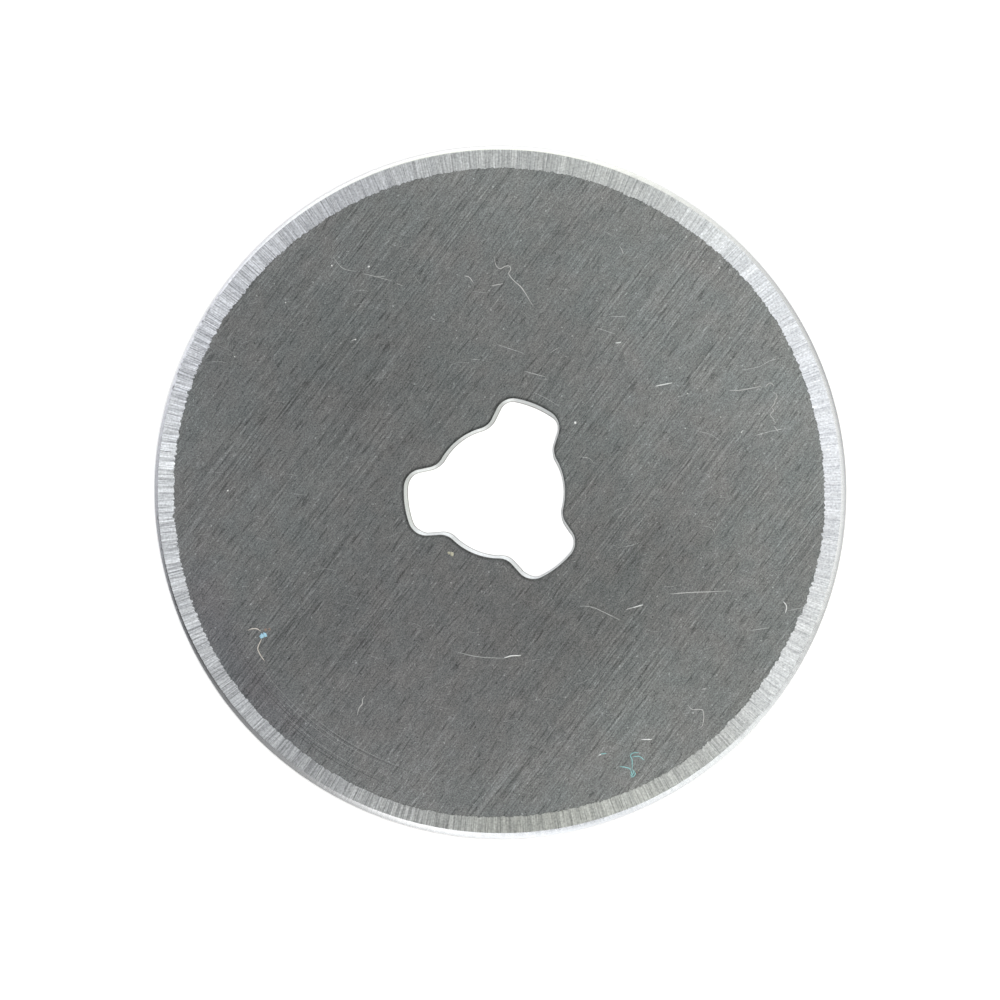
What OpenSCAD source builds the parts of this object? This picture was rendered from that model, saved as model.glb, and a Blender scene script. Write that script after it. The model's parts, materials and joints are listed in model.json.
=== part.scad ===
// Rotary cutter blade: one round sheet of tool steel, ground on both sides to an edge
// all the way round, with a round hub hole that three rounded notches open out.
// Millimetres. The origin is the disc's centre on its mid-plane, and +Z is its axis.

/* [Disc] */

// Cutting diameter, edge to edge
blade_d = 45; // [44.8:0.1:45.2]

// Thickness of the sheet
sheet_t = 0.3; // [0.28:0.01:0.35]

/* [Ground edge] */

// Radial width of the main bevel
bevel_w = 1.06; // [0.6:0.02:1.1]

// Slope of the main bevel from the face, on each side, in degrees
bevel_angle = 5; // [4:0.25:6]

// Radial width of the honed strip outside the main bevel
hone_w = 0.3; // [0.1:0.05:0.5]

// Thickness left at the cutting edge
edge_t = 0.01; // [0.005:0.005:0.03]

/* [Hub hole] */

// Radius of the round part that centres the blade
bore_r = 4.3; // [4.2:0.05:4.4]

// Number of notches around the hole
notch_count = 3; // [2:1:3]

// Radius from the disc's centre to a notch's tip
notch_r = 6.17; // [6.02:0.05:6.42]

// Half width of a notch at its gauge radius
notch_half_w = 2.19; // [2.04:0.05:2.29]

// Narrowing of each side of a notch towards its tip, in degrees
notch_taper = 4; // [0:1:6]

// Radius of the two corners inside a notch
corner_r = 1.2; // [0.8:0.1:1.4]

// Radius of the steel between a notch's side and the round part
root_r = 1.2; // [0.8:0.1:1.4]

/* [Hidden] */

$fn = 240;
disc_r = blade_d / 2;
hone_in_r = disc_r - hone_w;
face_r = hone_in_r - bevel_w;
hone_t = sheet_t - 2 * bevel_w * tan(bevel_angle);
first_notch = 60;
notch_step = 360 / notch_count;
notch_gauge_r = 4.5;
cut_past = 1;

// The roundings run this far past their neighbours, so that their surfaces cross
seam = 0.001;

// A notch lies along +X while it is drawn. Its upper side is a straight line through
// (notch_gauge_r, notch_half_w), running along side_x, side_y with its normal outward.
side_x = cos(notch_taper);
side_y = -sin(notch_taper);
side_off = notch_half_w * side_x - notch_gauge_r * side_y;

// Centre of the root's rounding, which touches the side and the round part
root_off = side_off + root_r;
root_run = sqrt(pow(bore_r + root_r, 2) - pow(root_off, 2));
root_cx = root_run * side_x - root_off * side_y;
root_cy = root_run * side_y + root_off * side_x;
root_on_bore = bore_r / (bore_r + root_r);

// Centre of the corner's rounding, which touches the side and the tip's arc
corner_off = side_off - corner_r;
corner_run = sqrt(pow(notch_r - corner_r, 2) - pow(corner_off, 2));
corner_cx = corner_run * side_x - corner_off * side_y;
corner_cy = corner_run * side_y + corner_off * side_x;
corner_on_tip = notch_r / (notch_r - corner_r);

steel = [0.47, 0.48, 0.47];

// Half of the disc's section: flat face, main bevel, honed strip and edge
module section() {
    polygon([
        [0, -sheet_t / 2],
        [face_r, -sheet_t / 2],
        [hone_in_r, -hone_t / 2],
        [disc_r, -edge_t / 2],
        [disc_r, edge_t / 2],
        [hone_in_r, hone_t / 2],
        [face_r, sheet_t / 2],
        [0, sheet_t / 2]
    ]);
}

// Straight-sided body of a notch, from the centre out to the corners
module notch_body() {
    difference() {
        polygon([
            [0, 0],
            [root_cx * root_on_bore, -root_cy * root_on_bore],
            [root_cx, -root_cy],
            [root_cx + root_r * side_y, -root_cy + root_r * side_x],
            [corner_cx - corner_r * side_y, -corner_cy - corner_r * side_x],
            [corner_cx, -corner_cy],
            [corner_cx, corner_cy],
            [corner_cx - corner_r * side_y, corner_cy + corner_r * side_x],
            [root_cx + root_r * side_y, root_cy - root_r * side_x],
            [root_cx, root_cy],
            [root_cx * root_on_bore, root_cy * root_on_bore]
        ]);
        translate([root_cx, -root_cy])
            circle(r = root_r + seam);
        translate([root_cx, root_cy])
            circle(r = root_r + seam);
    }
}

// Arc-ended sector that closes a notch between its two corners
module notch_tip() {
    intersection() {
        circle(r = notch_r);
        polygon([
            [0, 0],
            [corner_cx * corner_on_tip * 2, -corner_cy * corner_on_tip * 2],
            [corner_cx * corner_on_tip * 2, corner_cy * corner_on_tip * 2]
        ]);
    }
}

module notch() {
    notch_body();
    translate([corner_cx, -corner_cy])
        circle(r = corner_r + seam);
    translate([corner_cx, corner_cy])
        circle(r = corner_r + seam);
    notch_tip();
}

module hub_hole() {
    circle(r = bore_r);
    for (k = [0 : notch_count - 1])
        rotate([0, 0, first_notch + k * notch_step])
            notch();
}

module blade() {
    color(steel)
        difference() {
            rotate_extrude()
                section();
            translate([0, 0, -cut_past])
                linear_extrude(height = 2 * cut_past)
                    hub_hole();
        }
}

blade();
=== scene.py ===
import json
import math

import bmesh
import bpy
import numpy as np
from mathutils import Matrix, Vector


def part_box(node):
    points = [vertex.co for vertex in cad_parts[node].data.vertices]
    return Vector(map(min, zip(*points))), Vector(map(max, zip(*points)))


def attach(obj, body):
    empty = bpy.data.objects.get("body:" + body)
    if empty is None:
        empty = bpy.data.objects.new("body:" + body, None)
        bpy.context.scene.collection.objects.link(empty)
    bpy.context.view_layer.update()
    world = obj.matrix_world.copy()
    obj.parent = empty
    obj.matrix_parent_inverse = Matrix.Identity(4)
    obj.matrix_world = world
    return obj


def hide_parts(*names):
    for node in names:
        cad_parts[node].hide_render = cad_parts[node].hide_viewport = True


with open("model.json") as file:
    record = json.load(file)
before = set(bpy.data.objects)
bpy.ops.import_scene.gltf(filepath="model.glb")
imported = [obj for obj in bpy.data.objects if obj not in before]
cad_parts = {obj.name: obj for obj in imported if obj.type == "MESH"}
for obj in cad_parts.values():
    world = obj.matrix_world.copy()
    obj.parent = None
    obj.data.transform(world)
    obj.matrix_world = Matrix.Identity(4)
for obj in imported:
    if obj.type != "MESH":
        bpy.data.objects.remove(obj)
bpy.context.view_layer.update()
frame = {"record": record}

MM = 0.001

# ---------------------------------------------------------------- sizes, in millimetres
lo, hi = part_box("blade")
DISC_R = round((hi.x - lo.x) / 2 / MM, 1)
HALF_T = (hi.z - lo.z) / 2 / MM
BORE_R = [m for m in frame["record"]["mounts"] if m["name"] == "hub_hole"][0]["dims"]["r_mm"]
BEVEL_W = 1.06
HONE_W = 0.30
FACE_R = DISC_R - HONE_W - BEVEL_W
BEVEL_SLOPE = math.tan(math.radians(5.0))
EDGE_HALF = 0.005
NOTCHES = 3
NOTCH_R = 6.17
NOTCH_HALF_W = 2.19
NOTCH_GAUGE_R = 4.5
NOTCH_TAPER = math.radians(4.0)
ROUND_R = 1.2
FIRST_NOTCH = 60.0

# The hub hole sits off the disc's centre by this much, as the picture shows it
HOLE_SHIFT = (-0.045, 0.01)

# The picture is turned by this many degrees from the row frame, about +Z
ROLL = -7.9
# Direction of the faces' grinding grain in the row frame
GRAIN = 52.5 + ROLL

# The blade's mesh is made of closed rings of this many points
COLS = 2880
TURN = np.arange(COLS) / COLS * 2 * math.pi
# The same angles as the picture shows them
SEEN = TURN - math.radians(ROLL)
SEEN_DEG = np.degrees(TURN) - ROLL


def from_picture(points):
    """Points as the picture shows them, in mm from the disc's centre, turned to the row frame."""
    c, s = math.cos(math.radians(ROLL)), math.sin(math.radians(ROLL))
    return np.array(points, float) @ np.array([[c, s], [-s, c]])


def ease(share):
    """Soft step from 0 to 1."""
    share = np.clip(share, 0, 1)
    return share * share * (3 - 2 * share)


def turned(angle):
    """The same angle in degrees, from -180 to 180."""
    return (angle + 180) % 360 - 180


def peak(angles, centre, reach):
    """1 at the centre, down to 0 that many degrees to each side of it."""
    return ease(1 - np.abs(turned(angles - centre)) / reach)


def bump(centre, reach):
    """A soft rise of 1 at one direction of the picture, for every point of a ring."""
    return peak(SEEN_DEG, centre, reach)


# ---------------------------------------------------------------- outline of the hub hole
def arc(cx, cy, r, a0, a1, n=40):
    t = np.linspace(a0, a1, n)
    return np.stack([cx + r * np.cos(t), cy + r * np.sin(t)], 1)


def half_notch():
    """Outline from the middle of a round part to a notch's middle, the notch along +X."""
    side = np.array([math.cos(-NOTCH_TAPER), math.sin(-NOTCH_TAPER)])
    out = np.array([-side[1], side[0]])
    off = np.array([NOTCH_GAUGE_R, NOTCH_HALF_W]) @ out
    root = (off + ROUND_R) * out + math.sqrt((BORE_R + ROUND_R) ** 2 - (off + ROUND_R) ** 2) * side
    corner = (off - ROUND_R) * out + math.sqrt((NOTCH_R - ROUND_R) ** 2 - (off - ROUND_R) ** 2) * side
    a_root = math.atan2(root[1], root[0])
    a_corner = math.atan2(corner[1], corner[0])
    a_out = math.atan2(out[1], out[0])
    return np.concatenate([
        arc(0, 0, BORE_R, math.pi / NOTCHES, a_root),
        arc(root[0], root[1], ROUND_R, a_root + math.pi, a_out + math.pi)[1:],
        arc(corner[0], corner[1], ROUND_R, a_out, a_corner),
        arc(0, 0, NOTCH_R, a_corner, 0)[1:],
    ])


def hole_outline():
    """One point per column, evenly spaced along each third, and the direction into the hole."""
    half = half_notch()
    third = np.concatenate([half, (half * [1, -1])[::-1][1:]])[::-1]
    run = np.concatenate([[0], np.cumsum(np.hypot(*np.diff(third, axis=0).T))])
    per = COLS // NOTCHES
    steps = np.arange(per) / per * run[-1]
    points = np.stack([np.interp(steps, run, third[:, 0]), np.interp(steps, run, third[:, 1])], 1)
    out = []
    for k in range(NOTCHES):
        a = math.radians(FIRST_NOTCH + 360 / NOTCHES * k)
        c, s = math.cos(a), math.sin(a)
        out.append(points @ np.array([[c, s], [-s, c]]))
    points = np.concatenate(out)
    along = np.roll(points, -2, 0) - np.roll(points, 2, 0)
    along /= np.hypot(along[:, 0], along[:, 1])[:, None]
    return points, np.stack([-along[:, 1], along[:, 0]], 1)


# ---------------------------------------------------------------- how the grinding wavers round the ring
def ring_noise(cells, seed):
    """Smooth noise round the ring, -1 to 1, with that many cells."""
    r = np.random.default_rng(seed)
    v = r.uniform(-1, 1, cells)
    t = np.arange(COLS) / COLS * cells
    i = t.astype(int)
    f = ease(t - i)
    return v[i % cells] * (1 - f) + v[(i + 1) % cells] * f


# Waves of the border between face and bevel: number round the ring, height and phase in degrees
WAVES = [(1, 0.075, -128), (2, 0.04, 15), (5, 0.02, 60), (7, 0.026, -110), (8, 0.028, -175)]


def border_waves():
    total = np.full(COLS, -0.03)
    for number, height, phase in WAVES:
        total += height * np.cos(number * TURN - math.radians(phase))
    return total


def rim_radius():
    """The cutting edge, which runs off centre and wavers a little at the left."""
    rim = DISC_R - 0.03 + 0.085 * np.cos(SEEN + math.radians(33))
    rim = rim + 0.035 * np.cos(6 * (SEEN - math.radians(170))) * bump(190, 110) + 0.04 * bump(90, 50)
    return rim - 0.03 * bump(230, 32) - 0.02 * bump(340, 35)


def hone_radius():
    """The border between the main bevel and the honed strip."""
    border = DISC_R - HONE_W + 0.055 * np.sin(SEEN) + 0.07 * bump(312, 50)
    return border - 0.045 * bump(65, 24) - 0.035 * bump(127, 32)


def hone_painted_light():
    """Painted light and shade of the honed strip: how much darker than usual it is painted at its inner
    and at its outer side, lighter where below zero.
    """
    inner = 0.12 * bump(200, 75) - 0.34 * bump(142, 36) - 0.12 * bump(284, 24) - 0.12 * bump(60, 25)
    outer = 0.26 * bump(183, 46) + 0.40 * bump(8, 45) - 0.38 * bump(142, 36) - 0.26 * bump(282, 26)
    return inner, outer


def top_grooves():
    """Depth of the radial grooves that give the upper bevel its saw-like border."""
    groove = 0.0062 * ring_noise(1440, 1) + 0.0020 * ring_noise(720, 3)
    groove += 0.0085 * (0.4 - np.abs(ring_noise(960, 2)))
    return groove * (0.80 + 0.25 * np.cos(2 * (SEEN - math.radians(170))))


def under_grooves():
    return 0.0042 * ring_noise(1440, 4) + 0.0038 * ring_noise(960, 5)


def wall_shape(into):
    """Lean of the hole's wall, painted shade along its upper edge, and painted light and shade of the
    wall.
    """
    facing = turned(np.degrees(np.arctan2(into[:, 1], into[:, 0])) - ROLL)
    leaning = ease((150 - np.abs(turned(facing + 25))) / 70)
    lean = 0.09 + 0.18 * leaning - 0.06 * peak(facing, -75, 65)
    edge_painted_shade = 0.55 + 0.45 * leaning
    # painted light and shade of the wall, by the way each part of it faces
    dull = 0.15 * (1 - peak(facing, 50, 75)) - 0.30 * peak(facing, -75, 32) - 0.11 * peak(facing, 76, 45)
    return lean, edge_painted_shade, dull


# ---------------------------------------------------------------- the blade's mesh
# The blade's materials, in the order of its slots
FACE, BEVEL, HONE, FRACTURE, BURNISH = range(5)
# Share of the painted shade, a darker band, that the face keeps where it meets the bevel
BORDER_PAINTED_SHADE = 0.35


def grind(sign, depth, shift, hone_r, rim):
    """Radius and height of one side's rings, from the face's border out to the edge."""
    inner = FACE_R + shift
    border = inner - depth / BEVEL_SLOPE
    outer = hone_r - 2.0 * depth + 0.006 * ring_noise(90, 7)
    rows = [(border, np.full(COLS, HALF_T))]
    for share in (0.25, 0.5, 0.75, 1.0):
        r = border + (outer - border) * share
        z = HALF_T - (r - inner) * BEVEL_SLOPE - depth * (1 - 0.6 * share)
        z = z + 0.0004 * ring_noise(1440, int(20 + share * 4 + sign))
        rows.append((r, z))
    # the honed strip is two facets, whose fold lies higher or lower round the rim
    mid = hone_r + 0.53 * (rim - hone_r)
    uneven = 0.5 + 0.5 * np.cos(2 * (TURN - math.radians(20 + ROLL)))
    start = HALF_T - BEVEL_W * BEVEL_SLOPE
    drop = (0.533 + 0.14 * uneven) * (start - EDGE_HALF)
    rows.append((mid, start - drop + 0.0003 * ring_noise(900, 8)))
    rows.append((rim, np.full(COLS, EDGE_HALF)))
    return [(r, z * sign) for r, z in rows]


def blade_mesh():
    """Points, faces, material and marks of a ring of strips that closes on itself."""
    hole, into = hole_outline()
    hole = hole + from_picture([HOLE_SHIFT])
    lean, edge_painted_shade, dull_wall = wall_shape(into)
    dull_in, dull_out = hone_painted_light()
    hone_r, rim = hone_radius(), rim_radius()
    rings, painted_shade, painted_light_mark, kinds, sharp = [], [], [], [], []

    def ring(xy, z, kind=FACE, dark=0.0, dull=0.0, crease=False):
        """One ring of points. Its kind is the material of the strip up to the next ring. Its two marks
        carry painted shade, and painted light and shade.
        """
        rings.append(np.column_stack([xy, np.broadcast_to(z, COLS)]))
        painted_shade.append(np.broadcast_to(dark, COLS))
        painted_light_mark.append(np.broadcast_to(dull, COLS))
        kinds.append(np.full(COLS, kind))
        sharp.append(crease)

    def from_hole(depth, z, **marks):
        depth = np.broadcast_to(depth, COLS)
        ring(hole - into * depth[:, None], z, **marks)

    def circle(r, z, **marks):
        r = np.broadcast_to(r, COLS)
        ring(np.column_stack([r * np.cos(TURN), r * np.sin(TURN)]), z, **marks)

    # up the hole's wall and over its rolled edge
    # the wall carries its painted light and shade
    from_hole(-lean + 0.012, -HALF_T, kind=FRACTURE, dull=dull_wall, crease=True)
    from_hole(-lean, -HALF_T + 0.012, kind=FRACTURE, dull=dull_wall, crease=True)
    from_hole(-lean * 0.80, -HALF_T + 0.085, kind=BURNISH, dull=dull_wall, crease=True)
    # painted shade: the face round the hole's upper edge is painted darker, most where the wall leans
    # most
    from_hole(0.0, HALF_T - 0.045, dark=edge_painted_shade, dull=dull_wall)
    from_hole(0.012, HALF_T - 0.014, dark=edge_painted_shade)
    from_hole(0.045, HALF_T - 0.002, dark=edge_painted_shade)
    from_hole(0.11, HALF_T, dark=0.65 * edge_painted_shade)
    from_hole(0.24, HALF_T)

    # out along the top
    top = grind(1, top_grooves(), border_waves(), hone_r, rim)
    circle(8.0, HALF_T)
    circle(14.0, HALF_T)
    circle(top[0][0] - 0.11, HALF_T)
    top_kinds = [BEVEL] * 4 + [HONE] * 3
    # painted light and shade of the honed strip
    top_dulls = [0.0] * 4 + [dull_in, 0.5 * dull_in + 0.5 * dull_out, dull_out]
    # painted shade where the face meets the bevel, through the dark mark
    for k, (r, z) in enumerate(top):
        circle(r, z, kind=top_kinds[k], dark=BORDER_PAINTED_SHADE, dull=top_dulls[k], crease=k in (0, 4, 6))

    # round the edge and back below
    under = grind(-1, under_grooves(), -0.6 * border_waves(), hone_r, rim)
    under_kinds = [HONE] * 2 + [BEVEL] * 4 + [FACE]
    for k, (r, z) in enumerate(reversed(under)):
        circle(r, z, kind=under_kinds[k], crease=k in (0, 2, 6))
    circle(under[0][0] - 0.10, -HALF_T)
    circle(14.0, -HALF_T)
    circle(8.0, -HALF_T)
    from_hole(0.12, -HALF_T)

    here = np.arange(COLS)
    after = (here + 1) % COLS
    faces = []
    for k in range(len(rings)):
        a, b = k * COLS, ((k + 1) % len(rings)) * COLS
        faces.append(np.stack([a + here, b + here, b + after, a + after], 1))
    # the marks carry painted shade, and painted light and shade, for the materials
    marks = {"painted_shade": np.concatenate(painted_shade), "painted_light_mark": np.concatenate(painted_light_mark)}
    return np.concatenate(rings) * MM, np.concatenate(faces), np.concatenate(kinds), marks, sharp


def add_mesh(name, verts, faces, materials, indices=None):
    me = bpy.data.meshes.new(name)
    me.from_pydata([tuple(v) for v in verts], [], [tuple(int(c) for c in f) for f in faces])
    for m in materials:
        me.materials.append(m)
    if indices is not None:
        me.polygons.foreach_set("material_index", np.asarray(indices, np.int32))
    ob = bpy.data.objects.new(name, me)
    bpy.context.scene.collection.objects.link(ob)
    return ob


# ---------------------------------------------------------------- node helpers
class Nodes:
    """Short way to build a node tree: each call adds a node and returns its first output."""

    def __init__(self, tree):
        self.tree = tree
        tree.nodes.clear()

    def fill(self, socket, value):
        if isinstance(value, bpy.types.NodeSocket):
            self.tree.links.new(value, socket)
        else:
            socket.default_value = value

    def add(self, kind, values=(), out=0, **settings):
        node = self.tree.nodes.new(kind)
        for key, value in settings.items():
            setattr(node, key, value)
        for key, value in dict(values).items():
            self.fill(node.inputs[key], value)
        return node.outputs[out] if len(node.outputs) else None

    def math(self, op, a, b=0.0, c=0.0):
        return self.add("ShaderNodeMath", {0: a, 1: b, 2: c}, operation=op)

    def times(self, a, b):
        return self.math("MULTIPLY", a, b)

    def vec(self, op, a, b=(0, 0, 0), out=0):
        return self.add("ShaderNodeVectorMath", {0: a, 1: b}, out=out, operation=op)

    def scale(self, colour, value):
        return self.add("ShaderNodeVectorMath", {0: colour, "Scale": value}, operation="SCALE")

    def noise(self, vector, scale=1.0, detail=2.0, rough=0.5, out=0):
        return self.add("ShaderNodeTexNoise", {"Vector": vector, "Scale": scale, "Detail": detail,
                                               "Roughness": rough}, out=out, noise_dimensions="3D")

    def span(self, value, a, b, c=0.0, d=1.0, smooth=True):
        return self.add("ShaderNodeMapRange", {"Value": value, "From Min": a, "From Max": b,
                                               "To Min": c, "To Max": d},
                        interpolation_type="SMOOTHSTEP" if smooth else "LINEAR", clamp=True)

    def mix(self, share, a, b):
        node = self.tree.nodes.new("ShaderNodeMix")
        node.data_type = "RGBA"
        for index, value in ((0, share), (6, a), (7, b)):
            self.fill(node.inputs[index], value)
        return node.outputs[2]

    def around(self, value, share):
        """1 + share * (value - 0.5)"""
        return self.math("MULTIPLY_ADD", value, share, 1 - share / 2)

    def lifted(self, share, more):
        """1 + share * more"""
        return self.math("MULTIPLY_ADD", share, more, 1.0)

    def mark(self, name):
        """A value that the blade's mesh carries at each point."""
        return self.add("ShaderNodeAttribute", attribute_name=name, out=2)

    def close(self, **inputs):
        """The surface and the material's end. An underscore stands for a space."""
        values = {key.replace("_", " "): value for key, value in inputs.items()}
        shader = self.add("ShaderNodeBsdfPrincipled", values)
        self.add("ShaderNodeOutputMaterial", {"Surface": shader})


def new_material(name):
    """A material, its nodes, and the place of each point in mm in the row frame."""
    m = bpy.data.materials.new(name)
    m.use_nodes = True
    n = Nodes(m.node_tree)
    return m, n, n.vec("MULTIPLY", n.add("ShaderNodeTexCoord", out=3), (1 / MM, 1 / MM, 1 / MM))


def flat(n, p):
    return n.vec("MULTIPLY", p, (1, 1, 0))


def radius_of(n, p):
    return n.vec("LENGTH", flat(n, p), out=1)


def round_the_rim(n, p, fineness, depth_fineness, layer=0.0):
    """Coordinates for scratches that run across the rim: round it, across it, and a layer."""
    parts = n.tree.nodes.new("ShaderNodeSeparateXYZ")
    n.fill(parts.inputs[0], p)
    turn = n.math("ARCTAN2", parts.outputs[1], parts.outputs[0])
    run = n.times(turn, RIM_RUN_R)
    return n.add("ShaderNodeCombineXYZ", {0: n.times(run, fineness),
                                          1: n.times(radius_of(n, p), depth_fineness), 2: layer})


def away_from(n, p, x, y):
    """Distance from a place that the picture shows there."""
    return n.vec("DISTANCE", flat(n, p), (*from_picture([(x, y)])[0], 0), out=1)


def beside(n, p, angle, reach):
    """1 in one direction of the picture, down to 0 that many degrees to each side of it."""
    a = math.radians(angle + ROLL)
    level = n.vec("NORMALIZE", flat(n, p))
    cosine = n.vec("DOT_PRODUCT", level, (math.cos(a), math.sin(a), 0.0), out=1)
    return n.span(cosine, math.cos(math.radians(reach)), 1.0, 0.0, 1.0)


# ---------------------------------------------------------------- steel
# Radius at which distances round the rim are measured
RIM_RUN_R = 21.8
WHITE = (1, 1, 1, 1)

# Soft lighter and darker patches of the face, painted highlight and shade: middle and reach in mm, and
# tone
PAINTED_HIGHLIGHT_AND_SHADE = [
    (12, 7, 12, 1.11),
    (-9, 9, 9, 0.90),
    (-13, -9, 8, 0.87),
    (4, -9, 8, 0.89),
    (8, -17, 9, 1.14),
    (0, 20, 5, 1.12),
    (-17, 9, 6, 0.92),
    (-6, -20, 6, 1.09),
    (9.5, -5, 6, 0.88),
    (20.5, 6, 4, 1.08),
    (-4, 21, 4, 1.08),
    (-15, 15, 4, 0.93),
]

# Painted highlight and shade of the bevel, in lighter and darker stretches: middle and reach in degrees,
# and the change in tone
BEVEL_PAINTED_LIGHT_AND_SHADE = [(46, 15, 0.13), (177, 17, 0.20), (225, 24, -0.20), (310, 17, -0.13)]

# Painted reflection of the bevel, in bluish and straw-coloured stretches: middle and reach in degrees,
# and the tint
BEVEL_PAINTED_REFLECTIONS = [
    (25, 50, (1.0, 1.0, 1.045, 1)),
    (137, 42, (1.0, 0.995, 1.045, 1)),
    (290, 36, (1.0, 1.0, 0.97, 1)),
]


def face_grain(n, p, g, short, patch):
    """Lighter and darker streaks of the face. The place g is p turned along the grain."""
    long = n.noise(n.vec("MULTIPLY", g, (0.17, 9.0, 1)), 1.0, 1.0, 0.6)
    group = n.noise(n.vec("MULTIPLY", g, (0.07, 0.45, 1)), 1.0, 1.0, 0.5)
    wide = n.noise(n.vec("MULTIPLY", g, (0.08, 1.3, 1)), 1.0, 2.0, 0.5)
    speckle = n.noise(p, 12.0, 1.0, 0.5)
    cloud = n.noise(p, 0.16, 2.0, 0.5)
    lines = n.times(n.math("SUBTRACT", long, 0.5), n.span(group, 0.38, 0.68, 0.35, 1.6))
    value = n.times(n.around(short, 0.75), n.lifted(lines, 0.85))
    for noise, share in ((wide, 0.20), (speckle, 1.5), (patch, 0.10), (cloud, 0.14)):
        value = n.times(value, n.around(noise, share))
    # single deeper and brighter scratches of the grinding
    cut = n.noise(n.vec("ADD", n.vec("MULTIPLY", g, (0.8, 6.5, 1)), (31, 7, 0)), 1.0, 0.0)
    ridge = n.noise(n.vec("ADD", n.vec("MULTIPLY", g, (1.0, 8.0, 1)), (5, 57, 0)), 1.0, 0.0)
    value = n.times(value, n.span(cut, 0.66, 0.76, 1.0, 0.70))
    return n.times(value, n.span(ridge, 0.68, 0.80, 1.0, 1.28))


def pits_and_grains(n, p):
    """Dark pits and bright grains, each a point in some of the cells of a scattered grid."""
    jolt = n.vec("MULTIPLY", n.noise(p, 12.0, 1.0, 0.5, out=1), (0.14, 0.14, 0.0))
    grid = {"Vector": n.vec("ADD", p, jolt), "Scale": 1.6}
    distance = n.add("ShaderNodeTexVoronoi", grid, voronoi_dimensions="2D")
    pick = n.add("ShaderNodeTexVoronoi", grid, out=1, voronoi_dimensions="2D")
    dot = n.span(distance, 0.04, 0.10, 1.0, 0.0)
    chosen = n.add("ShaderNodeSeparateXYZ", {0: pick})
    bright = n.times(dot, n.math("GREATER_THAN", chosen, 0.84))
    dark = n.times(dot, n.math("LESS_THAN", chosen, 0.26))
    return n.times(n.lifted(bright, 0.8), n.lifted(dark, -0.45))


def face_tone(n, p, radius, patch):
    """The face's own grey, without its streaks."""
    broad = n.span(n.noise(p, 0.12, 3.0, 0.65), 0.35, 0.65)
    tone = n.mix(broad, (0.194, 0.206, 0.2028, 1), (0.201, 0.205, 0.2018, 1))
    # a more neutral and darker stain below the hub hole
    stain = n.span(away_from(n, p, -4, -11), 3.0, 15.0, 1.0, 0.0)
    tone = n.mix(stain, tone, (0.190, 0.193, 0.1915, 1))
    # small patches that are slightly bluer or warmer
    tarnish = n.mix(n.span(patch, 0.32, 0.68), (0.991, 1.003, 1.007, 1), (1.013, 0.997, 0.990, 1))
    tone = n.vec("MULTIPLY", tone, tarnish)
    # a darker violet stretch along the lower left of the rim
    violet_darkening = n.times(beside(n, p, 213, 27), n.span(radius, 18.2, 20.2, 0.0, 1.0))
    return n.vec("MULTIPLY", tone, n.mix(violet_darkening, WHITE, (0.885, 0.868, 0.905, 1)))


def face_material():
    m, n, p = new_material("steel_face")
    radius = radius_of(n, p)
    g = n.add("ShaderNodeMapping", {"Vector": p, "Rotation": (0, 0, math.radians(-GRAIN))})
    short = n.noise(n.vec("MULTIPLY", g, (1.6, 8.5, 1)), 1.0, 2.0, 0.6)
    patch = n.noise(p, 0.6, 1.0, 0.5)
    value = face_grain(n, p, g, short, patch)
    # painted shade and light: the face is painted darker towards the hub and lighter towards the rim
    value = n.times(value, n.span(radius, 7.0, 21.0, 0.95, 1.07, smooth=False))
    # painted highlight and shade in patches
    for x, y, reach, tone in PAINTED_HIGHLIGHT_AND_SHADE:
        value = n.times(value, n.span(away_from(n, p, x, y), 0.0, reach, tone, 1.0))
    # painted shade: darker along the hole's upper edge and where the face meets the bevel
    value = n.times(value, n.span(n.mark("painted_shade"), 0.0, 1.0, 1.0, 0.36))
    value = n.times(value, pits_and_grains(n, p))
    across = math.radians(GRAIN + 90)
    n.close(
        Base_Color=n.scale(face_tone(n, p, radius, patch), value),
        Metallic=1.0,
        Roughness=n.math("MULTIPLY_ADD", short, 0.16, 0.32),
        Anisotropic=0.9,
        Tangent=n.add("ShaderNodeCombineXYZ", {0: math.cos(across), 1: math.sin(across), 2: 0.0}),
        Normal=n.add("ShaderNodeBump", {"Height": short, "Strength": 0.5, "Distance": 0.000006}))
    return m


def bevel_material():
    m, n, p = new_material("steel_bevel")
    fine = n.noise(round_the_rim(n, p, 14.0, 0.35), 1.0, 3.0, 0.65)
    band = n.noise(round_the_rim(n, p, 2.2, 0.2, 4.0), 1.0, 2.0, 0.5)
    speck = n.noise(p, 8.0, 1.0, 0.5)
    # the scratches are deeper at the left of the rim than at its right
    left = math.radians(190 + ROLL)
    side = n.vec("DOT_PRODUCT", p, (math.cos(left) / DISC_R, math.sin(left) / DISC_R, 0.0), out=1)
    depth = n.math("MULTIPLY_ADD", side, 0.86, 2.3)
    value = n.math("MULTIPLY_ADD", n.math("SUBTRACT", fine, 0.5), depth, 1.0)
    value = n.times(value, n.around(band, 0.38))
    value = n.times(value, n.around(speck, 0.95))
    # painted highlight and shade round the bevel
    for angle, reach, more in BEVEL_PAINTED_LIGHT_AND_SHADE:
        value = n.times(value, n.lifted(beside(n, p, angle, reach), more))
    tone = n.mix(n.span(band, 0.35, 0.65), (0.417, 0.430, 0.437, 1), (0.419, 0.430, 0.434, 1))
    # painted reflection tints round the bevel
    for angle, reach, cast in BEVEL_PAINTED_REFLECTIONS:
        tone = n.vec("MULTIPLY", tone, n.mix(beside(n, p, angle, reach), WHITE, cast))
    n.close(
        Base_Color=n.scale(tone, value),
        Metallic=1.0,
        Roughness=n.math("MULTIPLY_ADD", fine, 0.12, 0.38),
        Anisotropic=0.95,
        Tangent=n.add("ShaderNodeTangent", direction_type="RADIAL", axis="Z"),
        Normal=n.add("ShaderNodeBump", {"Height": fine, "Strength": 0.35, "Distance": 0.000005}))
    return m


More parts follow.
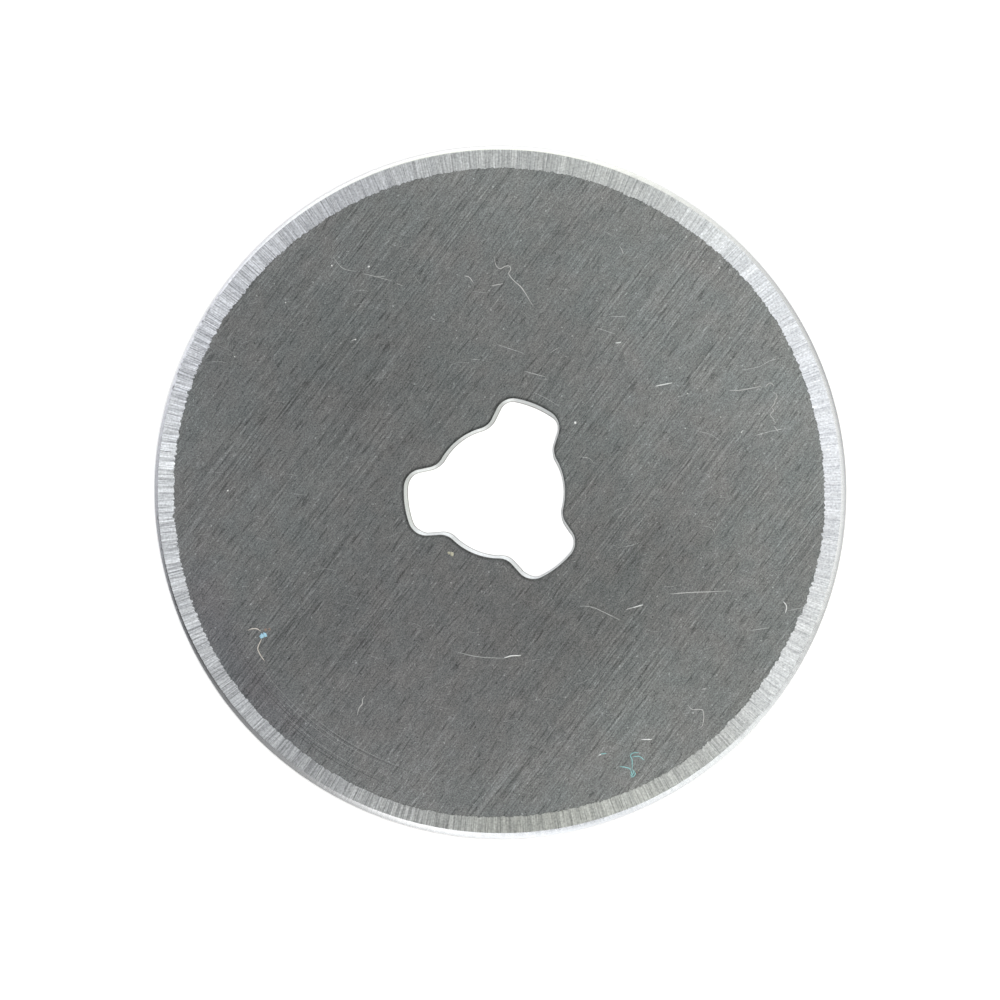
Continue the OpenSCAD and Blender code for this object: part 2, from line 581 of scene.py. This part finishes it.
def hone_material():
    m, n, p = new_material("steel_hone")
    fine = n.noise(round_the_rim(n, p, 4.0, 1.0), 1.0, 3.0, 0.6)
    # painted light and shade from the mesh's mark, darker or lighter round the rim
    value = n.times(n.around(fine, 0.10), n.lifted(n.mark("painted_light_mark"), -1.0))
    # painted reflection: slightly bluer at the lower right
    tone = n.mix(beside(n, p, 300, 45), (0.40, 0.406, 0.408, 1), (0.393, 0.406, 0.426, 1))
    n.close(
        Base_Color=n.scale(tone, value),
        Metallic=1.0,
        Roughness=0.24,
        Anisotropic=0.5,
        Tangent=n.add("ShaderNodeTangent", direction_type="RADIAL", axis="Z"))
    return m


def wall_material(name, rgb, rough):
    m, n, p = new_material(name)
    streak = n.noise(n.vec("MULTIPLY", p, (9, 9, 1.5)), 1.0, 3.0, 0.6)
    # painted light and shade from the mesh's mark, by the way the wall faces
    value = n.times(n.around(streak, 0.5), n.lifted(n.mark("painted_light_mark"), -1.0))
    n.close(Base_Color=n.scale(rgb, value), Metallic=0.4, Roughness=rough)
    return m


steel = [
    face_material(),
    bevel_material(),
    hone_material(),
    wall_material("steel_wall_fracture", (0.27, 0.27, 0.26), 0.6),
    wall_material("steel_wall_burnish", (0.53, 0.545, 0.545), 0.45),
]

verts, quads, kinds, marks, sharp = blade_mesh()
blade = add_mesh("blade_steel", verts, quads, steel, kinds)
me = blade.data
for mark, values in marks.items():
    layer = me.attributes.new(mark, "FLOAT", "POINT")
    layer.data.foreach_set("value", np.asarray(values, np.float32))
me.polygons.foreach_set("use_smooth", np.ones(len(me.polygons), bool))
ends = np.empty(len(me.edges) * 2, np.int32)
me.edges.foreach_get("vertices", ends)
edge_ring = ends.reshape(-1, 2) // COLS
is_sharp = (edge_ring[:, 0] == edge_ring[:, 1]) & np.array(sharp)[edge_ring[:, 0]]
me.attributes.new("sharp_edge", "BOOLEAN", "EDGE").data.foreach_set("value", is_sharp)
me.update()
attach(blade, "root")
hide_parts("blade")


# ---------------------------------------------------------------- lint, dust and scratches
# Points are in mm from the disc's centre, as the picture shows them
BOLD_LINT = [
    [(8.65, -7.5), (9.3, -7.31)],
    [(10.1, 6.88), (11.2, 7.1)],
    [(7.5, 9.68), (7.9, 9.72)],
    [(18.42, -7.1), (18.62, -7.4), (18.55, -7.85)],
    [(9.2, -16.05), (9.9, -16.05)],
    [(0.3, -10.76), (0.75, -10.63), (1.38, -10.6)],
    [(6.4, -17.1), (6.6, -17.0)],
]
PALE_LINT = [
    [(-8.72, -13.2), (-8.9, -13.45), (-8.92, -13.75), (-9.12, -14.0), (-9.25, -14.45)],
    [(7.8, 15.95), (7.95, 15.7), (8.02, 15.45)],
    [(-0.34, 15.3), (-0.25, 14.75), (0.03, 14.5), (0.34, 14.66), (0.62, 14.68), (0.73, 14.48),
     (0.59, 14.16), (0.95, 13.7), (1.38, 13.33), (1.7, 12.86), (1.98, 12.4), (2.13, 12.16)],
    [(1.0, 13.65), (1.38, 13.3), (1.72, 12.83), (1.98, 12.38)],
    [(-0.53, 13.4), (0.21, 13.53)],
    [(-9.63, 9.83), (-9.31, 9.95)],
    [(8.2, -7.62), (8.7, -7.48)],
    [(12.2, -13.8), (12.5, -14.1), (13.0, -14.1), (13.2, -14.2), (13.25, -14.6), (13.2, -15.0),
     (13.1, -15.25), (12.9, -15.35)],
    [(14.9, 6.6), (15.5, 6.6), (16.1, 6.7), (16.6, 6.8), (17.0, 6.9)],
    [(17.2, 6.8), (17.4, 7.0), (17.6, 7.1), (17.8, 6.9)],
    [(17.75, 6.5), (17.98, 6.32), (17.99, 6.1), (17.86, 5.95), (17.85, 5.75), (17.66, 5.5), (17.78, 5.3),
     (17.62, 5.12), (17.6, 4.93), (17.8, 4.75), (17.78, 4.62), (17.95, 4.5)],
    [(17.8, 4.3), (18.1, 3.9)],
    [(11.1, -6.6), (12.6, -6.5), (14.2, -6.45)],
    [(13.1, -12.8), (13.4, -12.75)],
    [(-2.29, 14.02), (-2.0, 13.97), (-1.73, 13.64)],
]
FAINT_LINT = [
    [(14.0, -6.45), (15.0, -6.4)],
    [(-10.83, 15.28), (-10.2, 14.55), (-9.3, 14.31)],
    [(-8.9, 14.2), (-7.6, 13.88), (-7.0, 13.7)],
    [(-6.7, 13.55), (-6.3, 13.4)],
    [(-8.0, 14.02), (-7.4, 13.98)],
    [(-2.7, -10.4), (-1.3, -10.7), (0.3, -10.78)],
    [(-4.43, 11.41), (-4.38, 11.25), (-4.2, 11.2)],
    [(-1.85, 8.58), (-1.35, 8.64)],
    [(1.6, 7.85), (3.0, 7.48)],
    [(16.2, -9.0), (17.5, -8.8)],
    [(18.7, -7.7), (19.7, -7.5)],
    [(5.2, -7.4), (6.1, -7.5), (7.8, -8.3)],
]
TEAL_LINT = [
    [(6.55, -17.0), (6.95, -16.95)],
    [(7.8, -17.8), (8.35, -17.9), (8.55, -18.05)],
    [(8.5, -18.3), (8.6, -18.5), (8.8, -18.3), (8.7, -18.05)],
    [(8.52, -18.05), (8.56, -18.25), (8.64, -18.42)],
    [(8.62, -18.0), (8.68, -18.2), (8.6, -18.4)],
    [(8.6, -18.0), (8.6, -17.4), (8.5, -17.15), (8.6, -16.95), (9.05, -16.9)],
    [(8.6, -17.2), (9.05, -17.15), (9.4, -17.4)],
]
BEIGE_LINT = [
    [(-16.35, -8.98), (-16.1, -8.87), (-15.75, -8.87), (-15.52, -9.04)],
    [(-15.45, -9.53), (-15.7, -10.1), (-15.57, -10.5), (-15.25, -10.98)],
]
SCRATCHES = [
    [(15.6, 7.9), (16.8, 8.14), (17.57, 8.53), (18.4, 8.75)],
    [(2.2, 6.5), (3.0, 6.1), (3.85, 5.6)],
    [(3.2, 9.0), (3.85, 9.4)],
    [(6.3, 10.66), (7.54, 10.26)],
    [(12.9, 3.95), (13.7, 3.75), (14.3, 3.35)],
    [(16.5, 3.65), (17.4, 3.9), (18.7, 4.17)],
    [(13.1, -2.2), (13.7, -2.3), (14.0, -2.7)],
    [(-0.2, 9.6), (1.6, 9.0)],
    [(7.2, 11.4), (8.2, 11.4)],
    [(5.1, 2.3), (5.8, 2.2), (6.2, 1.8)],
    [(0.0, -4.9), (0.3, -4.8), (0.5, -5.2)],
]
# Bright and dark rings left by the grinding wheel: radius, then from and to in degrees
WHEEL_MARKS = [(18.95, 224, 250), (19.2, 216, 247), (19.45, 222, 240), (20.1, 226, 246)]
DARK_MARKS = [
    (19.05, 232, 252),
    (19.75, 209, 231),
    (19.95, 213, 236),
    (20.3, 222, 252),
    (20.5, 228, 243),
]
# Specks: place, width in mm, and for the coloured ones a seed and a height as crumb takes it
WHITE_DUST = [
    (4.9, 4.5, 0.20),
    (12.2, 6.4, 0.09),
    (15.7, 3.9, 0.10),
    (-10.9, 14.7, 0.14),
    (-8.5, 14.63, 0.16),
    (12.05, 4.15, 0.09),
    (-13.9, 12.3, 0.09),
    (-17.2, 8.8, 0.09),
    (-17.65, 0.1, 0.13),
    (-9.35, 9.9, 0.09),
    (13.2, 15.0, 0.09),
    (14.3, 15.0, 0.09),
]
# The first two brown crumbs are a painted shadow beside the blue speck; the third is a brown speck by
# the teal lint
BROWN_DUST_AND_SHADOW = [(-15.2, -8.93, 0.24, 14, 0.2), (-14.95, -8.9, 0.20, 15, 0.2), (8.9, -18.2, 0.14, 16, 0.3)]
BLUE_DUST = [(-15.47, -9.35, 0.38, 5, 0.3), (-15.25, -9.27, 0.36, 8, 0.3)]
STRAW_DUST = [(-3.1, -4.02, 0.34, 6, 0.3), (-3.3, -3.95, 0.22, 11, 0.3), (9.0, -18.05, 0.10, 9, 0.6)]
# Middles of the spots where finer dust has gathered
DUSTY_SPOTS = [(16.4, -5.7), (13.1, -9.9), (8.5, -13.4), (-9.8, 14.4)]


# Corners of a thread's section, its width at the ends and how much the width varies
SIDES = 6
THREAD_ENDS = 0.35
THREAD_ROUGH = 0.15
# How far above the face the middle of a fibre and of a scratch lies, in its own radii
LINT_RISE = 0.9
SCRATCH_RISE = 0.0
# How many fine specks lie all over the face and in each dusty spot, and how many short scratches
FINE_SPECKS = 34
SPOT_SPECKS = 16
SHORT_SCRATCHES = 150


def smooth_path(points, step=0.08):
    """A Catmull-Rom curve through the points, with a point about every step."""
    p = from_picture(points)
    p = np.concatenate([[2 * p[0] - p[1]], p, [2 * p[-1] - p[-2]]])
    out = []
    for a, b, c, d in zip(p, p[1:], p[2:], p[3:]):
        t = np.linspace(0, 1, max(2, int(np.hypot(*(c - b)) / step)), endpoint=False)[:, None]
        out.append(b + t * ((c - a) + t * (2 * a - 5 * b + 4 * c - d + t * (3 * b - a - 3 * c + d))) / 2)
    return np.concatenate(out + [p[-2:-1]])


def thread(points, radius, rise, seed):
    """Closed thread along the points, its middle at that many radii above the face."""
    path = smooth_path(points)
    along = np.gradient(path, axis=0)
    along /= np.hypot(along[:, 0], along[:, 1])[:, None]
    side = np.stack([-along[:, 1], along[:, 0]], 1)
    count = len(path)
    share = np.linspace(0, 1, count)
    r = np.random.default_rng(seed)
    fullness = np.clip(4 * np.minimum(share, 1 - share) + 0.1, 0, 1)
    size = radius * (THREAD_ENDS + (1 - THREAD_ENDS) * fullness)
    size = size * (1 + THREAD_ROUGH * r.uniform(-1, 1, count))
    turn = np.arange(SIDES) / SIDES * 2 * math.pi
    xy = path[:, None] + side[:, None] * (size[:, None] * np.cos(turn))[..., None]
    z = HALF_T + radius * rise + size[:, None] * np.sin(turn)
    verts = np.concatenate([xy, z[..., None]], 2).reshape(-1, 3)
    faces = []
    for k in range(count - 1):
        for i in range(SIDES):
            j = (i + 1) % SIDES
            faces.append((k * SIDES + i, k * SIDES + j, (k + 1) * SIDES + j, (k + 1) * SIDES + i))
    faces.append(tuple(reversed(range(SIDES))))
    faces.append(tuple((count - 1) * SIDES + i for i in range(SIDES)))
    return verts, faces


def threads(paths, radius, rise, seed):
    return [thread(path, radius, rise, seed + k) for k, path in enumerate(paths)]


def crumb(x, y, width, seed, height=0.6):
    """One small uneven grain of dust on the face. Its height is a share of a round grain's."""
    bm = bmesh.new()
    bmesh.ops.create_icosphere(bm, subdivisions=1, radius=width / 2)
    r = np.random.default_rng(seed)
    cx, cy = from_picture([(x, y)])[0]
    verts = []
    for v in bm.verts:
        px, py, pz = v.co * r.uniform(0.65, 1.25)
        verts.append((cx + px, cy + py, HALF_T + (pz + width * 0.45) * height))
    faces = [tuple(v.index for v in f.verts) for f in bm.faces]
    bm.free()
    return np.array(verts), faces


def arcs(rings):
    """The middle line of each wheel mark, as nine points."""
    out = []
    for r, start, end in rings:
        turn = np.radians(np.linspace(start, end, 9))
        out.append(np.stack([r * np.cos(turn), r * np.sin(turn)], 1))
    return out


def joined(parts):
    verts, faces, start = [], [], 0
    for v, f in parts:
        verts.append(v)
        faces += [tuple(start + i for i in face) for face in f]
        start += len(v)
    return np.concatenate(verts) * MM, faces


def small_piece(name, parts, material):
    piece = add_mesh(name, *joined(parts), [material])
    piece.data.polygons.foreach_set("use_smooth", np.ones(len(piece.data.polygons), bool))
    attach(piece, "root")
    return piece


def lint_material(name, rgb):
    m, n, p = new_material(name)
    colour = n.scale(rgb, n.around(n.noise(p, 6.0, 2.0, 0.6), 0.5))
    n.close(Base_Color=colour, Roughness=0.85, Sheen_Weight=0.3, Sheen_Roughness=0.5)
    return m


def scratch_material():
    m, n, p = new_material("steel_scratch")
    colour = n.scale((0.42, 0.43, 0.42), n.around(n.noise(p, 5.0, 2.0, 0.6), 1.2))
    n.close(Base_Color=colour, Metallic=1.0, Roughness=0.4)
    return m


def some_place(draw, inner, outer):
    """A random place on the face between two radii."""
    r = math.sqrt(draw.uniform(inner ** 2, outer ** 2))
    a = draw.uniform(0, 2 * math.pi)
    return r * math.cos(a), r * math.sin(a)


def white_dust():
    """The larger specks, then fine dust all over the face, then the spots where it has gathered."""
    draw = np.random.default_rng(7)
    dust = [crumb(x, y, width, 40 + k) for k, (x, y, width) in enumerate(WHITE_DUST)]
    for k in range(FINE_SPECKS):
        x, y = some_place(draw, 7.2, 20.6)
        dust.append(crumb(x, y, draw.uniform(0.035, 0.06), 80 + k))
    for x, y in DUSTY_SPOTS:
        for _ in range(SPOT_SPECKS):
            dx, dy = draw.normal(0, 0.8, 2)
            dust.append(crumb(x + dx, y + dy, draw.uniform(0.025, 0.045), 200 + len(dust)))
    return dust


def short_strokes():
    """Middle lines of short faint scratches, most within 30 degrees of level in the picture."""
    draw = np.random.default_rng(21)
    strokes = []
    for _ in range(SHORT_SCRATCHES):
        x, y = some_place(draw, 7.5, 20.2)
        turn = draw.normal(0.1, 0.5)
        length = draw.uniform(0.3, 1.3)
        sag = draw.uniform(-0.1, 0.1) * length
        dx, dy = math.cos(turn) * length / 2, math.sin(turn) * length / 2
        strokes.append([(x - dx, y - dy), (x, y + sag), (x + dx, y + dy)])
    return strokes


white = lint_material("lint_white", (0.54, 0.55, 0.54))
pale = lint_material("lint_pale", (0.37, 0.37, 0.36))
faint = lint_material("lint_faint", (0.30, 0.31, 0.30))
teal = lint_material("lint_teal", (0.20, 0.42, 0.42))
beige = lint_material("lint_beige", (0.40, 0.37, 0.335))
brown = lint_material("dust_and_painted_shadow_brown", (0.17, 0.125, 0.10))
blue = lint_material("dust_blue", (0.26, 0.44, 0.54))
straw = lint_material("dust_straw", (0.33, 0.32, 0.24))
small_piece("lint_bold", threads(BOLD_LINT, 0.038, LINT_RISE, 1), white)
small_piece("lint_pale", threads(PALE_LINT, 0.027, LINT_RISE, 20), pale)
small_piece("lint_faint", threads(FAINT_LINT, 0.020, LINT_RISE, 36), faint)
small_piece("lint_teal", threads(TEAL_LINT, 0.030, LINT_RISE, 50), teal)
small_piece("dust_white", white_dust(), white)
small_piece("lint_beige", threads(BEIGE_LINT, 0.036, LINT_RISE, 60), beige)
# painted shadow of the blue speck, and one brown speck
small_piece("dust_and_painted_shadow_brown", [crumb(*grain) for grain in BROWN_DUST_AND_SHADOW], brown)
small_piece("dust_blue", [crumb(*grain) for grain in BLUE_DUST], blue)
small_piece("dust_straw", [crumb(*grain) for grain in STRAW_DUST], straw)

fine_scratches = threads(SCRATCHES, 0.012, SCRATCH_RISE, 70)
fine_scratches += threads(arcs(WHEEL_MARKS), 0.007, SCRATCH_RISE, 90)
fine_scratches += threads(short_strokes(), 0.0055, SCRATCH_RISE, 300)
scratches = small_piece("scratches", fine_scratches, scratch_material())
dark_rings = threads(arcs(DARK_MARKS), 0.012, SCRATCH_RISE, 110)
grooves = small_piece("grooves", dark_rings, lint_material("steel_groove", (0.012, 0.012, 0.013)))


# ---------------------------------------------------------------- floor
# Half of the floor's side in metres, and how far it lies below the blade in mm
FLOOR_HALF = 1.5
FLOOR_GAP = 0.002


def floor_material():
    m, n, p = new_material("paper_floor")
    tone = n.scale((0.90, 0.90, 0.90), n.around(n.noise(p, 0.8, 3.0, 0.6), 0.02))
    n.close(Base_Color=tone, Roughness=0.8)
    return m


floor_z = -(HALF_T + FLOOR_GAP) * MM
corners = [(-1, -1), (1, -1), (1, 1), (-1, 1)]
floor_verts = [(x * FLOOR_HALF, y * FLOOR_HALF, floor_z) for x, y in corners]
floor = add_mesh("floor", floor_verts, [(0, 1, 2, 3)], [floor_material()])

# ---------------------------------------------------------------- studio light
NEUTRAL = (1.0, 1.0, 1.0)
COOL = (0.978, 0.984, 1.055)
WARM = (1.04, 1.06, 0.84)
SURROUND = 0.10
BACKDROP = 0.93

# Soft panels far off: azimuth in the picture, degrees off the zenith, reach, strength and tint
PANELS = [
    (45, 33, 22, 1.4, NEUTRAL),
    (90, 33, 22, 2.75, (1.0, 1.012, 0.90)),
    (135, 33, 22, 1.1, COOL),
    (168, 33, 22, 1.5, COOL),
    (240, 33, 22, 0.5, NEUTRAL),
    (0, 65, 38, 1.0, WARM),
    (90, 65, 38, 3.4, COOL),
    (270, 65, 38, 2.4, NEUTRAL),
]

# Round soft boxes near the blade: azimuth, distance out, height and width in mm, watts and tint
LAMPS = [
    (0, 110, 120, 90, 0.041, (1.0, 1.005, 1.0)),
    (270, 110, 120, 90, 0.056, NEUTRAL),
    (315, 110, 120, 90, 0.051, (1.02, 1.015, 0.955)),
    (0, 60, 170, 60, 0.014, NEUTRAL),
]


def direction(azimuth, off_zenith):
    """Unit vector towards a point of the sky. The azimuth is as the picture shows it."""
    a, t = math.radians(azimuth + ROLL), math.radians(off_zenith)
    return (math.cos(a) * math.sin(t), math.sin(a) * math.sin(t), math.cos(t))


def studio_sky():
    world = bpy.data.worlds.new("studio")
    bpy.context.scene.world = world
    world.use_nodes = True
    n = Nodes(world.node_tree)
    sky = n.add("ShaderNodeTexCoord", out=0)
    light = n.add("ShaderNodeCombineXYZ", {0: SURROUND, 1: SURROUND, 2: SURROUND})
    for azimuth, off_zenith, reach, strength, tint in PANELS:
        nearness = n.vec("DOT_PRODUCT", sky, direction(azimuth, off_zenith), out=1)
        glow = n.span(nearness, math.cos(math.radians(reach)), 1.0)
        light = n.vec("ADD", light, n.scale([strength * c for c in tint], glow))
    soft = n.add("ShaderNodeBackground", {"Color": light, "Strength": 1.0})
    plain = n.add("ShaderNodeBackground", {"Color": (BACKDROP, BACKDROP, BACKDROP, 1), "Strength": 1.0})
    seen_directly = n.add("ShaderNodeLightPath", out=0)
    both = n.add("ShaderNodeMixShader", {0: seen_directly, 1: soft, 2: plain})
    n.add("ShaderNodeOutputWorld", {"Surface": both})


def soft_box(name, azimuth, out, height, width, watts, tint):
    lamp = bpy.data.lights.new(name, "AREA")
    lamp.shape = "DISK"
    lamp.size = width * MM
    lamp.energy = watts
    lamp.color = tint
    box = bpy.data.objects.new(name, lamp)
    a = math.radians(azimuth + ROLL)
    box.location = (out * MM * math.cos(a), out * MM * math.sin(a), height * MM)
    box.rotation_euler = (-box.location).to_track_quat("-Z", "Y").to_euler()
    box.visible_camera = False
    bpy.context.scene.collection.objects.link(box)


studio_sky()
for k, lamp_values in enumerate(LAMPS):
    soft_box("soft_box_%d" % (k + 1), *lamp_values)

# ---------------------------------------------------------------- camera
# Width of the view and height of the camera in mm
FRAME_W = 64.98
CAM_HEIGHT = 180.0
SENSOR_W = 36.0
# Middle of the view, in mm from the disc's centre as the picture shows it
VIEW_MIDDLE = (0.026, -0.507)

cam_data = bpy.data.cameras.new("camera")
cam_data.sensor_width = SENSOR_W
cam_data.lens = SENSOR_W * CAM_HEIGHT / FRAME_W
cam_data.clip_start = 0.01
cam_data.clip_end = 10.0
cam = bpy.data.objects.new("camera", cam_data)
bpy.context.scene.collection.objects.link(cam)
middle_x, middle_y = from_picture([VIEW_MIDDLE])[0]
cam.location = (middle_x * MM, middle_y * MM, CAM_HEIGHT * MM)
cam.rotation_euler = (0, 0, math.radians(ROLL))
bpy.context.scene.camera = cam

view = bpy.context.scene.view_settings
view.view_transform = "Standard"
view.look = "None"
